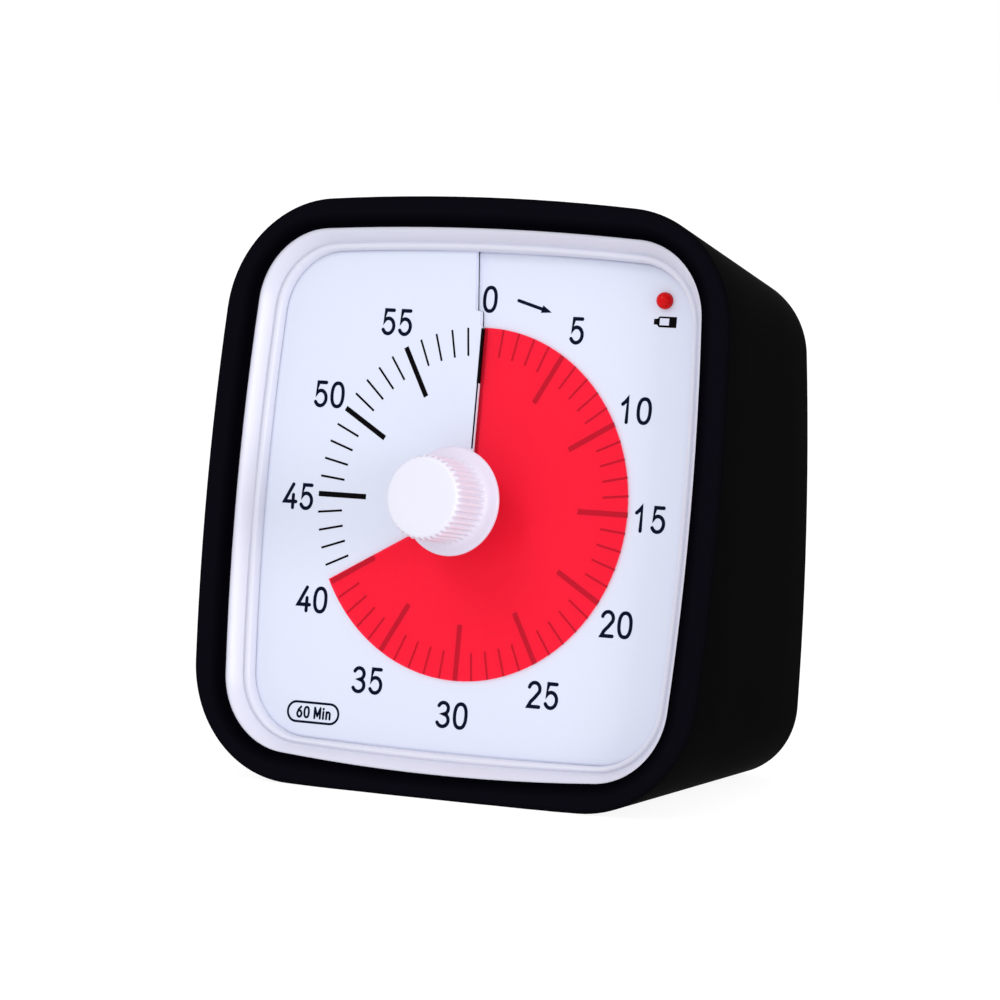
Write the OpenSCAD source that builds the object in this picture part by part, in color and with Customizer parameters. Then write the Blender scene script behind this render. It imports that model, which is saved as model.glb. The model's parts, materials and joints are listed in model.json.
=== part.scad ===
// Visual countdown timer: a red disc that winds out through a slit in a spiral dial,
// in a white two-part case with a soft sleeve.
// Millimetres, +Z up. The front faces -Y, and the origin is the middle of the base.

/* [Case and sleeve] */
// Angle by which the front leans back from vertical
lean = 8; // [0:1:12]
// Depth of the sleeve at its base, front rim to back
sleeve_depth = 60; // [56:1:64]
// Half width of the sleeve at its front rim
front_half_w = 49.4; // [47:0.1:52]
// Height of the front rim above the middle of the face
front_top = 50.9; // [49:0.05:52]
// Height of the front rim below the middle of the face
front_bottom = 50.35; // [49:0.05:52]
// Half width of the sleeve at its back
rear_half_w = 40.2; // [38:0.1:43]
// Height of the sleeve at its back
rear_h = 86.6; // [80:0.1:90]
// Radius of the front corners
front_corner_r = 20.8; // [16:0.1:24]
// Radius of the back corners
rear_corner_r = 13; // [11:0.1:16]
// Thickness of the sleeve round the sides
sleeve_wall = 3; // [2.5:0.1:3.5]
// Thickness of the sleeve's lip over the front edge of the case
front_lip = 1.6; // [1.4:0.1:1.8]
// Thickness of the sleeve's lip over the back edge of the case
rear_lip = 1.8; // [1.4:0.1:2.2]
// How far the back lip reaches in from the inside of the sleeve
rear_lip_w = 5; // [3:0.5:6]
// Thickness of the white case
case_wall = 2; // [1.6:0.1:2.4]

/* [Dial] */
// Half width of the dial
dial_half_w = 40.2; // [39:0.1:41]
// Height of the dial above its middle
dial_half_h = 41.9; // [41:0.1:42.5]
// Depth of the dial's low lip behind the front of the sleeve
dial_depth = 6.4; // [6:0.1:7]
// How far the middle of the dial lies below the middle of the face
dial_drop = 0.4; // [0:0.1:1]
// Rise of the dial and of the disc in one full turn
spiral_pitch = 1.2; // [1.2:0.05:1.4]
// Thickness of the dial sheet
dial_sheet = 0.5; // [0.4:0.05:0.5]
// Radius of the red disc
disc_r = 29.6; // [27:0.1:30]
// Thickness of the red disc
disc_sheet = 0.35; // [0.25:0.05:0.35]
// Angle of disc that shows at rest: 240 degrees are 40 minutes
shown_angle = 240; // [60:6:330]
// Diameter of the light on the dial
led_d = 3; // [2.5:0.1:3.2]

/* [Knob] */
// Height of the knob's end above the front of the sleeve
knob_top = 10.7; // [8:0.1:12]
// Diameter of the fluted grip
knob_d = 14.2; // [12:0.1:16]
// Diameter of the skirt
skirt_d = 18.3; // [16:0.1:20]
// Number of flutes
flutes = 40; // [24:2:48]
// Diameter of the spindle
spindle_d = 6; // [5:0.1:6]

/* [Movement] */
// Gear module
gear_module = 0.5; // [0.45:0.05:0.5]
// Teeth of each large wheel
wheel_teeth = 48; // [44:4:48]
// Teeth of each pinion
pinion_teeth = 12; // [12:1:14]
// Play between two teeth in mesh
backlash = 0.14; // [0.1:0.02:0.2]

/* [Back] */
// Diameter of the AA cell
cell_d = 14.5; // [14:0.1:14.5]
// Length of the AA cell
cell_len = 50.5; // [49.5:0.1:50.5]
// Height of the battery door
door_h = 19.4; // [18:0.1:20]
// Width of the battery door
door_w = 54; // [53:0.5:55]
// Travel of the volume switch to each side of its middle stop
switch_travel = 2; // [1:0.5:2]

/* [Hidden] */
$fn = 48;

white = "#ececf4";
dial_white = "#e4e9fc";
black = "#101014";
red = "#ff2a3e";
brass = "#c9a24a";
steel = "#a9adb2";
gear_white = "#e9e4d6";
board_green = "#2f6b45";

snug = 0.05;        // play between pieces that sit on one another
run_fit = 0.05;     // radial play of a shaft in its bore
rim_round = 1;      // rounding of the sleeve's front rim
rim_land = 1.4;     // how far in from its outline the front of the rim is foremost
back_round = 2.4;   // rounding of the sleeve's back edge
base_flat = 0.25;   // how much of the bowed bottom is worn flat to stand on

// An outline is [half width, top, bottom, side radius, top radius, bottom radius, corner radius]
front_outline = [front_half_w, front_top, front_bottom, 510, 410, 1200, front_corner_r];
rear_outline = [rear_half_w, rear_h / 2, rear_h / 2, 590, 500, 1200, rear_corner_r];
rim_outline = [front_half_w - 5.6, front_top - 5.3, front_bottom - 4.15, 480, 480, 380, 13.5];
dial_outline = [dial_half_w, dial_half_h, dial_half_h + 0.3, 480, 480, 900, 11];
// Sections of the sleeve's lip and of the white bezel, as inset from the rim's outline and depth
lip_section = [[-2.4, 0], [-1.2, 0.3], [-0.3, 0.8], [0, 1.2], [0, front_lip]];
bezel_section = [[0, 0], [0.5, 0.4], [1.7, 1.9], [2, 2.4], [2.3, 2.2], [2.8, 2.5]];
side_steps = 3;     // points along half a side
corner_steps = 9;   // points round a corner

// Places of the face and of the back. The knob's end is the foremost point.
rim_edge_y = (front_bottom - rim_land) * sin(lean);
knob_edge_y = (knob_d / 2 - 0.7 + dial_drop) * sin(lean) + knob_top * cos(lean);
face_y = (rim_edge_y + knob_edge_y - sleeve_depth) / 2;
face_z = front_bottom * cos(lean) - base_flat;
rear_y = face_y - rim_edge_y + sleeve_depth;
rear_z = rear_h / 2 - base_flat;
back_y = rear_y - rear_lip - snug;      // outer face of the case's back
inner_y = back_y - case_wall;           // inner face of the case's back

// Depths behind the front of the sleeve, as heights on the face's own z axis
case_front = -(front_lip + snug);
dial_z = -dial_depth;
disc_gap = 0.15;                        // play between the dial and the disc
floor_z = dial_z - 1.8;                 // floor of the recess, which carries the dial
floor_t = 1.5;
floor_hole_r = 31;
dial_play = 0.2;                        // play between the dial's edge and the recess
base_front = floor_z - floor_t - snug;
base_t = 1.8;
base_back = base_front - base_t;
base_r = 34.8;
split = 0.32;                           // where the two halves of the case meet

// Movement
wheel_r = gear_module * wheel_teeth / 2;
pinion_r = gear_module * pinion_teeth / 2;
gear_gap = wheel_r + pinion_r;
pressure_angle = 25;
spindle_r = spindle_d / 2;
wheel_t = 1.6;
main_z = base_back - 3.6;               // back of the main wheel
second_z = main_z - 3.6;                // back of the second wheel
cover_z = second_z - 1.2;               // inner face of the cover
cover_t = 1.4;
second_angle = 225;
second_at = gear_gap * [cos(second_angle), sin(second_angle)];
motor_angle = 315;
motor_at = second_at + gear_gap * [cos(motor_angle), sin(motor_angle)];
arbor_r = 1;
motor_shaft_r = 1;
screw_ring_r = 33;

led_at = [33.2, 35.65];
bush_r = 4.6;
collar_r = 4.8;
dial_hole_r = 5.3;

// Battery bay and door
bay_half = 28;
cell_z = 23;
cell_y = back_y - 2.3 - cell_d / 2 - 0.3;
bay_play = 0.55;
bay_floor_y = cell_y - cell_d / 2 - 0.4;
door_t = 1.6;
door_y = back_y - 0.3 - door_t / 2;     // middle of the door's thickness
hinge_z = 14.2;
door_bottom = hinge_z - door_t / 2;
seat_y = door_y - door_t / 2 - 0.1;

// Volume switch and sound slots
switch_at = [-17, 58];
slot_half = switch_travel + 2.3;
buzzer_at = [16, 57];
buzzer_r = 8.5;

// Case screws, on the back
screws_at = [[-32, 13], [32, 13], [-25.5, 73.5], [25.5, 73.5]];
screw_web_y = back_y - 22;
boss_r = 3.1;

// ---------- outlines and lofts ----------

// Centre of the corner arc that runs smoothly into the side arc and the cap arc
function corner_centre(w, h, side_r, cap_r, corner_r) =
    let (
        a = [w - side_r, 0],
        b = [0, h - cap_r],
        ra = side_r - corner_r,
        rb = cap_r - corner_r,
        gap = norm(b - a),
        along = (gap * gap + ra * ra - rb * rb) / (2 * gap),
        off = sqrt(ra * ra - along * along),
        u = (b - a) / gap
    )
    a + u * along + [-u.y, u.x] * off;

function arc(centre, r, from, to, steps) =
    [for (i = [0 : steps - 1]) let (a = from + (to - from) * i / steps) centre + r * [cos(a), sin(a)]];

// Quarter of an outline, from the middle of its side up to the middle of its cap
function quarter(w, h, side_r, cap_r, corner_r, inset) =
    let (
        c = corner_centre(w, h, side_r, cap_r, corner_r),
        side_c = [w - side_r, 0],
        cap_c = [0, h - cap_r],
        a = atan2(c.y, c.x - side_c.x),
        b = atan2(c.y - cap_c.y, c.x)
    )
    concat(
        arc(side_c, side_r - inset, 0, a, side_steps),
        arc(c, corner_r - inset, a, b, corner_steps),
        arc(cap_c, cap_r - inset, b, 90, side_steps)
    );

function flip_x(points) = [for (p = points) [-p.x, p.y]];
function flip_y(points) = [for (p = points) [p.x, -p.y]];
function backwards(points) = [for (i = [len(points) - 1 : -1 : 0]) points[i]];
function tail(points) = [for (i = [1 : len(points) - 1]) points[i]];

// Whole outline, anticlockwise from the middle of the right side
function outline(o, inset = 0) =
    let (
        up = quarter(o[0], o[1], o[3], o[4], o[6], inset),
        down = quarter(o[0], o[2], o[3], o[5], o[6], inset)
    )
    concat(
        up, [[0, o[1] - inset]], flip_x(backwards(up)),
        tail(flip_x(flip_y(down))), [[0, inset - o[2]]], flip_y(backwards(tail(down)))
    );

// A point of the face's own frame, and one of the plane of the back, in the part's frame
function face_pt(p, z) =
    [p.x, face_y + p.y * sin(lean) - z * cos(lean), face_z + p.y * cos(lean) + z * sin(lean)];
function rear_pt(p) = [p.x, rear_y, rear_z + p.y];
function on_base(p) = [p.x, p.y, max(p.z, 0)];

// Ring of the case's tapered side, set in by inset: at the front for along = 0, at the back
// for along = 1, and then further back by back along the straight lines of the side
function side_ring(along, inset, back = 0) =
    let (f = outline(front_outline, inset), r = outline(rear_outline, inset))
    [for (i = [0 : len(f) - 1])
        let (a = face_pt(f[i], 0), b = rear_pt(r[i]), k = along + back / (b.y - a.y))
        on_base((1 - k) * a + k * b)];
function rim_ring(inset, z) = [for (p = outline(rim_outline, inset)) face_pt(p, z)];
function dial_ring(inset, z) = [for (p = outline(dial_outline, inset)) face_pt(p, z)];
// Round ring whose points lie on the same rays as the dial's
function round_ring(r, z) = [for (p = outline(dial_outline)) face_pt(r * p / norm(p), z)];

// Solid of rings that follow one another round a closed section
module ring_solid(rings) {
    n = len(rings[0]);
    m = len(rings);
    polyhedron(
        points = [for (ring = rings) each ring],
        faces = [for (j = [0 : m - 1]) for (i = [0 : n - 1]) each
            let (a = j * n + i, b = j * n + (i + 1) % n, c = ((j + 1) % m) * n, d = c + (i + 1) % n, e = c + i)
            [[a, d, b], [a, e, d]]]
    );
}

// Solid of rings that follow one another from a first flat face to a last one
module capped_solid(rings) {
    n = len(rings[0]);
    m = len(rings);
    polyhedron(
        points = [for (ring = rings) each ring],
        faces = concat(
            [[for (i = [n - 1 : -1 : 0]) i], [for (i = [0 : n - 1]) (m - 1) * n + i]],
            [for (j = [0 : m - 2]) for (i = [0 : n - 1]) each
                let (a = j * n + i, b = j * n + (i + 1) % n)
                [[a, b, b + n], [a, b + n, a + n]]]
        )
    );
}

// Children drawn on the face: x right, y up the face, z towards the viewer
module on_face() translate([0, face_y, face_z]) rotate([90 - lean, 0, 0]) children();

// The same with the origin on the axis of the knob
module on_axis() on_face() translate([0, -dial_drop, 0]) children();

// Children drawn looking at the back along -Y from outside: z out of the back
module on_back(at) translate([at.x, 0, at.y]) rotate([-90, 0, 0]) children();

module tube(r_out, r_in, h) difference() {
    cylinder(r = r_out, h = h);
    translate([0, 0, -1]) cylinder(r = r_in, h = h + 2);
}

// ---------- spiral sheet ----------

spiral_step = 6;

// Sheet that rises one pitch in a full turn, clockwise from the slit, between two radii
module spiral_sheet(r_in, r_out, from, to, z, t, flat_bottom = undef) {
    steps = ceil((to - from) / spiral_step);
    section = [for (i = [0 : steps]) let (
            a = from + (to - from) * i / steps,
            d = [sin(a), cos(a)],
            top = z + spiral_pitch * a / 360,
            low = is_undef(flat_bottom) ? top - t : flat_bottom
        ) [[d.x * r_in, d.y * r_in, low], [d.x * r_out, d.y * r_out, low],
           [d.x * r_out, d.y * r_out, top], [d.x * r_in, d.y * r_in, top]]];
    polyhedron(
        points = [for (s = section) each s],
        faces = concat(
            [[0, 1, 2, 3], [for (k = [3 : -1 : 0]) steps * 4 + k]],
            [for (i = [0 : steps - 1]) for (k = [0 : 3]) each
                let (a = i * 4 + k, b = i * 4 + (k + 1) % 4)
                [[a, b + 4, b], [a, a + 4, b + 4]]]
        )
    );
}

// ---------- gears ----------

// Half the angle that a tooth covers at radius r
function tooth_half(r, teeth, pitch_r) =
    let (
        base_r = pitch_r * cos(pressure_angle),
        roll = acos(min(1, base_r / max(r, base_r))),
        pitch_inv = tan(pressure_angle) * 180 / PI - pressure_angle
    )
    (90 - 180 / PI * backlash / pitch_r * teeth / 2) / teeth + pitch_inv
        - (tan(roll) * 180 / PI - roll);

module gear_profile(teeth) {
    pitch_r = gear_module * teeth / 2;
    root_r = pitch_r - 1.2 * gear_module;
    tip_r = pitch_r + 0.95 * gear_module;
    flank = [for (k = [0 : 4]) root_r + (tip_r - root_r) * k / 4];
    polygon([for (t = [0 : teeth - 1]) each concat(
        [for (r = flank) let (a = t * 360 / teeth - tooth_half(r, teeth, pitch_r)) r * [cos(a), sin(a)]],
        [for (r = backwards(flank)) let (a = t * 360 / teeth + tooth_half(r, teeth, pitch_r))
            r * [cos(a), sin(a)]]
    )]);
}

module gear(teeth, t) linear_extrude(t) gear_profile(teeth);

// ---------- case ----------

module silicone_sleeve() color(black) ring_solid([
    side_ring(0, 0, rim_round),
    side_ring(0, rim_round * 0.3, rim_round * 0.3),
    side_ring(0, rim_round),
    each [for (p = lip_section) rim_ring(p[0], -p[1])],
    side_ring(0, sleeve_wall, front_lip),
    side_ring(split, sleeve_wall),
    side_ring(1, sleeve_wall, -rear_lip),
    side_ring(1, sleeve_wall + rear_lip_w, -rear_lip),
    side_ring(1, sleeve_wall + rear_lip_w, -0.6),
    side_ring(1, sleeve_wall + rear_lip_w - 0.6),
    side_ring(1, back_round),
    side_ring(1, back_round * 0.3, -back_round * 0.3),
    side_ring(1, 0, -back_round)
]);

module front_shell() color(white) difference() {
    union() {
        out = sleeve_wall + snug;
        ring_solid([
            side_ring(split, out),
            side_ring(0, out, 0.8 - case_front),
            side_ring(0, out + 0.2, 0.25 - case_front),
            side_ring(0, out + 0.7, -case_front),
            each [for (p = bezel_section) rim_ring(p[0], case_front - p[1])],
            dial_ring(-dial_play, case_front - 3.5),
            dial_ring(-dial_play, floor_z),
            round_ring(floor_hole_r, floor_z),
            round_ring(floor_hole_r, floor_z - floor_t),
            dial_ring(-0.6, floor_z - floor_t),
            side_ring(split, out + case_wall)
        ]);
        for (at = screws_at) front_boss(at);
        intersection() {
            for (a = [90 : 120 : 330]) on_axis() rotate(a) translate([screw_ring_r, 0, floor_z - floor_t])
                cylinder(r = 2.2, h = floor_t);
            on_axis() translate([0, 0, floor_z - floor_t]) tube(base_r, floor_hole_r, floor_t);
        }
    }
    for (at = screws_at) on_back(at) translate([0, 0, screw_web_y - 11]) cylinder(r = 1.3, h = 12);
    for (a = [90 : 120 : 330]) on_axis() rotate(a) translate([screw_ring_r, 0, floor_z - floor_t - 1])
        cylinder(r = 0.95, h = floor_t + 2);
    on_axis() translate([led_at.x, led_at.y, floor_z - floor_t - 1]) cylinder(r = led_d / 2 + 0.2, h = floor_t + 2);
}

// Post that runs back from the floor of the recess and takes a case screw
module front_boss(at) intersection() {
    on_back(at) translate([0, 0, -40]) cylinder(r = boss_r, h = 40 + screw_web_y - snug);
    on_face() translate([-50, -50, floor_z - floor_t / 2 - 60]) cube([100, 100, 60]);
}

module rear_shell() color(white) difference() {
    union() {
        difference() {
            out = sleeve_wall + snug;
            capped_solid([
                side_ring(1, out + case_wall, inner_y - rear_y),
                side_ring(split, out + case_wall),
                side_ring(split, out),
                side_ring(1, out, back_y - rear_y - 2),
                side_ring(1, out + 0.6, back_y - rear_y - 0.6),
                side_ring(1, out + 2, back_y - rear_y)
            ]);
            // doorway, switch slot and sound slots
            translate([-door_w / 2 - 0.25, inner_y - 1, door_bottom - 0.25]) cube([door_w + 0.5, 5, door_h + 0.5]);
            translate([switch_at.x - slot_half, inner_y - 1, switch_at.y - 1.7]) cube([2 * slot_half, 5, 3.4]);
            for (i = [-2 : 2]) translate([buzzer_at.x - 6, inner_y - 1, buzzer_at.y + 2.8 * i - 0.6]) cube([12, 5, 1.2]);
        }
        battery_bay();
        for (at = screws_at) on_back(at) translate([0, 0, screw_web_y]) cylinder(r = boss_r, h = inner_y - screw_web_y + 0.5);
        switch_rails();
        on_back(buzzer_at) translate([0, 0, inner_y - 4]) tube(buzzer_r + 1.3, buzzer_r + 0.1, 4.5);
    }
    for (at = screws_at) on_back(at) {
        translate([0, 0, screw_web_y - 1]) cylinder(r = 1.3, h = 10);
        translate([0, 0, screw_web_y + 2]) cylinder(r = 2.4, h = 30);
    }
    // sockets for the door's pins
    for (side = [-1, 1]) translate([side * (door_w / 2 + 0.1), door_y, hinge_z]) rotate([0, side * 90, 0])
        cylinder(r = 0.6 + run_fit, h = 1.6);
}

// Open box that holds the cell, with a rim for the door to shut on
module battery_bay() difference() {
    half_z = cell_d / 2 + bay_play;
    translate([-bay_half - 2.6, bay_floor_y - 1.4, cell_z - half_z - 3.2])
        cube([2 * bay_half + 5.2, back_y - bay_floor_y + 0.6, 2 * half_z + 6.6]);
    translate([-bay_half, bay_floor_y, cell_z - half_z]) cube([2 * bay_half, 30, 2 * half_z]);
    translate([-door_w / 2 - 0.25, seat_y, door_bottom - 0.25]) cube([door_w + 0.5, 5, door_h + 0.5]);
}

// Two rails that hold the body of the volume switch
module switch_rails() for (side = [-1, 1])
    translate([switch_at.x - 7, inner_y - 5, switch_at.y + side * 4.1 - 0.7]) cube([14, 5.5, 1.4]);

// Line of the slit, from the hole outwards: beside the disc, then a jog and a slant to the left
slit_line = [[0.1, 5], [0.1, 9.4], [-0.2, 20], [-0.25, 29.4], [-0.9, 31.9], [-1.85, 32.1], [-3.2, 42.4], [-3.5, 46]];
slit_gap = 0.14;
slit_edge_turn = 4.3;       // angle of the slit to the left of the axis at the dial's edge
slit_turn = 6;              // how far each end of the sheet runs past the slit before it is cut
slit_trim_w = 9;            // width of the blocks that cut them
slit_mid = dial_z + spiral_pitch * 0.4;

// Block beside the slit, to its right for side 1 and to its left for side -1
module beside_slit(side, from_z, to_z) translate([0, 0, from_z]) linear_extrude(to_z - from_z)
    polygon(concat(
        [for (p = slit_line) p + [side * slit_gap / 2, 0]],
        [for (p = backwards(slit_line)) p + [side * slit_trim_w, 0]]
    ));

module dial_plate() color(dial_white) on_axis() difference() {
    union() {
        difference() {
            intersection() {
                spiral_sheet(dial_hole_r, 66, -slit_turn, 360 + slit_turn, dial_z, dial_sheet);
                dial_block(0);
            }
            beside_slit(1, slit_mid, slit_mid + 3);
            beside_slit(-1, slit_mid - 3, slit_mid);
        }
        intersection() {
            spiral_sheet(30.5, 66, 0.4 - slit_edge_turn, 359.6 - slit_edge_turn, dial_z - dial_sheet / 2, 0,
                floor_z + 0.02);
            difference() {
                dial_block(0);
                dial_block(1.2);
            }
        }
    }
    translate([led_at.x, led_at.y, dial_z - 3]) cylinder(r = led_d / 2 + 0.15, h = 6);
}

// Tall block with the dial's outline, set in by inset
module dial_block(inset) translate([0, dial_drop, floor_z - 2])
    linear_extrude(8) polygon(outline(dial_outline, inset));

module indicator_led() color(red) on_axis() translate([led_at.x, led_at.y, 0]) {
    top = dial_z + 1.9;
    rotate_extrude() union() {
        translate([0, floor_z - 3]) square([led_d / 2, top - led_d / 2 - floor_z + 3]);
        translate([0, floor_z - 3]) square([led_d / 2 + 0.4, 1]);
        intersection() {
            translate([0, top - led_d / 2]) circle(r = led_d / 2);
            translate([0, top - led_d / 2]) square(led_d);
        }
    }
    for (side = [-1, 1]) translate([side * 0.9, 0, board_top - 0.3]) cylinder(r = 0.25, h = floor_z - 2.9 - board_top + 0.3);
}

// ---------- movement ----------

module movement_base() color(black) on_axis() difference() {
    union() {
        translate([0, 0, base_back]) cylinder(r = base_r, h = base_t);
        translate([second_at.x, second_at.y, base_back - 0.6]) cylinder(r = 2.2, h = 1);
    }
    translate([0, 0, base_back - 1]) cylinder(r = bush_r, h = base_t + 2);
    translate([second_at.x, second_at.y, base_back - 2]) cylinder(r = arbor_r, h = base_t + 3);
    for (a = [90 : 120 : 330]) rotate(a) translate([screw_ring_r, 0, base_back - 1]) cylinder(r = 0.95, h = base_t + 2);
    for (at = screws_at) base_notch(at);
}

// Clearance for a case post through the rim of the movement
module base_notch(at) {
    y = (at.y - face_z + dial_drop) / cos(lean);
    translate([at.x, y + 1.6, base_back - 4]) cylinder(r = boss_r + 0.9, h = 9);
}

cover_flange = 1.2;
board_top = base_back - cover_flange - 0.9;
board_t = 1.2;

// The two round pots of the cover and the small one over the motor's pinion
module cover_pots(grow, depth) {
    cylinder(r = wheel_r + 0.9 + grow, h = depth);
    translate([second_at.x, second_at.y, 0]) cylinder(r = wheel_r + 0.9 + grow, h = depth);
    translate([motor_at.x, motor_at.y, 0]) cylinder(r = pinion_r + 1.4 + grow, h = depth);
}

module movement_cover() color("#3a3d44") on_axis() difference() {
    union() {
        translate([0, 0, base_back - cover_flange - snug]) cylinder(r = base_r, h = cover_flange);
        translate([0, 0, cover_z - cover_t]) cover_pots(1.3, base_back - snug - cover_z + cover_t);
        translate([0, 0, cover_z - cover_t - 1.5]) cylinder(r = 3.4, h = 2);
    }
    translate([0, 0, cover_z]) cover_pots(0, 20);
    translate([0, 0, cover_z - cover_t - 2]) cylinder(r = 1.5 + run_fit, h = 6);
    translate([second_at.x, second_at.y, cover_z - cover_t - 1]) cylinder(r = arbor_r, h = 4);
    translate([motor_at.x, motor_at.y, cover_z - cover_t - 1]) cylinder(r = 2, h = 4);
    for (a = [90 : 120 : 330]) rotate(a) translate([screw_ring_r, 0, base_back - 3]) cylinder(r = 0.95, h = 4);
    for (at = screws_at) base_notch(at);
    translate([leaf_x - leaf_w / 2 - 0.4, 8.5, leaf_z - 0.4]) cube([leaf_w + 0.8, 6, 1.1]);
}

module spindle_bush() color(brass) on_axis() rotate_extrude() polygon([
    [spindle_r + run_fit, base_back - 1.2], [bush_r + 1.6, base_back - 1.2], [bush_r + 1.6, base_back],
    [bush_r, base_back], [bush_r, base_front + 0.5], [spindle_r + run_fit, base_front + 0.5]
]);

module reduction_arbor() color(steel) on_axis() translate([second_at.x, second_at.y, cover_z - cover_t])
    cylinder(r = arbor_r, h = base_front - 0.3 - cover_z + cover_t);

// Sealed stepper motor with its own reduction inside
module drive_motor() color(steel) on_axis() translate([motor_at.x, motor_at.y, cover_z - cover_t - snug]) difference() {
    union() {
        translate([0, 0, -7.5]) cylinder(r = 8, h = 7.5);
        translate([0, 0, -8]) cylinder(r = 7.3, h = 8);
        translate([-10.5, -2, -0.8]) cube([21, 4, 0.8]);
    }
    translate([0, 0, -6]) cylinder(r = motor_shaft_r + run_fit, h = 8);
}

module circuit_board() color(board_green) on_axis() difference() {
    translate([0, 0, board_top - board_t]) linear_extrude(board_t)
        polygon([[7, 17], [37, 17], [37, 33], [35.6, 38], [7, 38]]);
    post = screws_at[3];
    y = (post.y - face_z + dial_drop) / cos(lean);
    translate([post.x, y + 2, board_top - 6]) cylinder(r = boss_r + 1.2, h = 12);
    for (side = [-1, 1]) translate([led_at.x + side * 0.9, led_at.y, board_top - 3]) cylinder(r = 0.3, h = 6);
}

module controller_chip() color(black) on_axis() translate([10, 25, board_top - board_t - 1.6 - 0.02]) difference() {
    cube([9, 7, 1.6]);
    translate([1.4, 1.4, -0.8]) cylinder(r = 0.5, h = 1);
}

module quartz_crystal() color(steel) on_axis() translate([11, 35.6, board_top - board_t - 1.55]) rotate([0, 90, 0]) {
    cylinder(r = 1.5, h = 6);
    cylinder(r = 1.1, h = 6.6);
}

// Springy leaf on the board that feels the back of the main wheel for zero
leaf_x = 8.6;
leaf_w = 2;
leaf_z = main_z - 0.9;
module zero_contact() color(brass) on_axis() translate([leaf_x - leaf_w / 2, 0, 0]) {
    foot_z = board_top - board_t - 0.32;
    translate([0, 6.2, leaf_z]) cube([leaf_w, 12.6, 0.3]);
    translate([0.5, 6.2, leaf_z]) cube([leaf_w - 1, 0.8, main_z - 0.2 - leaf_z]);
    translate([0, 18.5, leaf_z]) cube([leaf_w, 0.3, foot_z + 0.3 - leaf_z]);
    translate([0, 18.5, foot_z]) cube([leaf_w, 2.7, 0.3]);
}

module buzzer() color(black) on_back(buzzer_at) translate([0, 0, inner_y - 0.3]) rotate_extrude()
    polygon([[0, -6.5], [buzzer_r, -6.5], [buzzer_r, 0], [1.2, 0], [1.2, -1], [0, -1]]);

// ---------- back ----------

switch_front = inner_y - 1.3;

module switch_body() color(steel) difference() {
    translate([switch_at.x - 6.5, switch_front - 4.5, switch_at.y - 3.3]) cube([13, 4.5, 6.6]);
    translate([switch_at.x - 5.4, switch_front - 1.4, switch_at.y - 1.9]) cube([10.8, 3, 3.8]);
}

module volume_slider() color(black) {
    translate([switch_at.x - 3, switch_front - 1.3, switch_at.y - 1.7]) cube([6, 1.2, 3.4]);
    translate([switch_at.x - 2, switch_front - 0.2, switch_at.y - 1.4]) cube([4, back_y - switch_front + 1.4, 2.8]);
}

module battery_cell() color("#b9bcc4") translate([-bay_half + 4.2, cell_y, cell_z]) rotate([0, 90, 0]) rotate_extrude()
    polygon([[0, 0], [cell_d / 2 - 0.5, 0], [cell_d / 2, 0.5], [cell_d / 2, cell_len - 1.9],
        [cell_d / 2 - 0.5, cell_len - 1.4], [2.75, cell_len - 1.4], [2.75, cell_len], [0, cell_len]]);

// Cone of wire that pushes the cell home, wound by a formula
spring_wire = 0.9;
spring_turns = 3.5;
spring_len = 3.2;
module battery_spring() color(steel) translate([-bay_half + 0.45, cell_y, cell_z]) rotate([0, 90, 0]) {
    sides = 6;
    rings = 12 * spring_turns;
    path = [for (i = [0 : rings]) let (k = i / rings, a = 360 * spring_turns * k, r = 5.4 - 2.6 * k)
        [r * cos(a), r * sin(a), spring_wire / 2 + (spring_len - spring_wire) * k]];
    polyhedron(
        points = [for (i = [0 : rings]) let (p = path[i], u = [p.x, p.y, 0] / norm([p.x, p.y]))
            each [for (s = [0 : sides - 1]) let (b = 360 * s / sides)
                p + spring_wire / 2 * (cos(b) * u + sin(b) * [0, 0, 1])]],
        faces = concat(
            [[for (s = [sides - 1 : -1 : 0]) s], [for (s = [0 : sides - 1]) rings * sides + s]],
            [for (i = [0 : rings - 1]) for (s = [0 : sides - 1]) each
                let (a = i * sides + s, b = i * sides + (s + 1) % sides)
                [[a, b, b + sides], [a, b + sides, a + sides]]]
        )
    );
    translate([-6, -6, -0.4]) cube([12, 12, 0.55]);
}

module battery_contact() color(steel) translate([bay_half - 0.5, cell_y - 6, cell_z - 5]) {
    cube([0.4, 12, 10]);
    translate([-0.5, 4, 3]) cube([0.6, 4, 4]);
}

module battery_door() color(white) {
    length = door_h - door_t / 2;
    difference() {
        union() {
            translate([-door_w / 2, door_y, hinge_z]) rotate([0, 90, 0]) cylinder(r = door_t / 2, h = door_w);
            translate([-door_w / 2, door_y - door_t / 2, hinge_z]) cube([door_w, door_t, length]);
            translate([-door_w / 2 - 1.1, door_y, hinge_z]) rotate([0, 90, 0]) cylinder(r = 0.6, h = door_w + 2.2);
        }
        // thumb hollow, and the two cuts beside the springy catch
        translate([0, door_y + 8.4, hinge_z + length - 5.5]) sphere(r = 8.4);
        for (side = [-1, 1]) translate([side * 6.5 - 0.4, door_y - 2, hinge_z + length - 6]) cube([0.8, 4, 7]);
    }
}

module case_screws() color(steel) for (at = screws_at) on_back(at) translate([0, 0, screw_web_y]) difference() {
    union() {
        translate([0, 0, -9]) cylinder(r = 1.25, h = 12);
        translate([0, 0, 2.02]) cylinder(r = 2.2, h = 1.6);
    }
    for (turn = [0, 90]) rotate(turn) translate([-1.3, -0.25, 3]) cube([2.6, 0.5, 1]);
}

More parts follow.
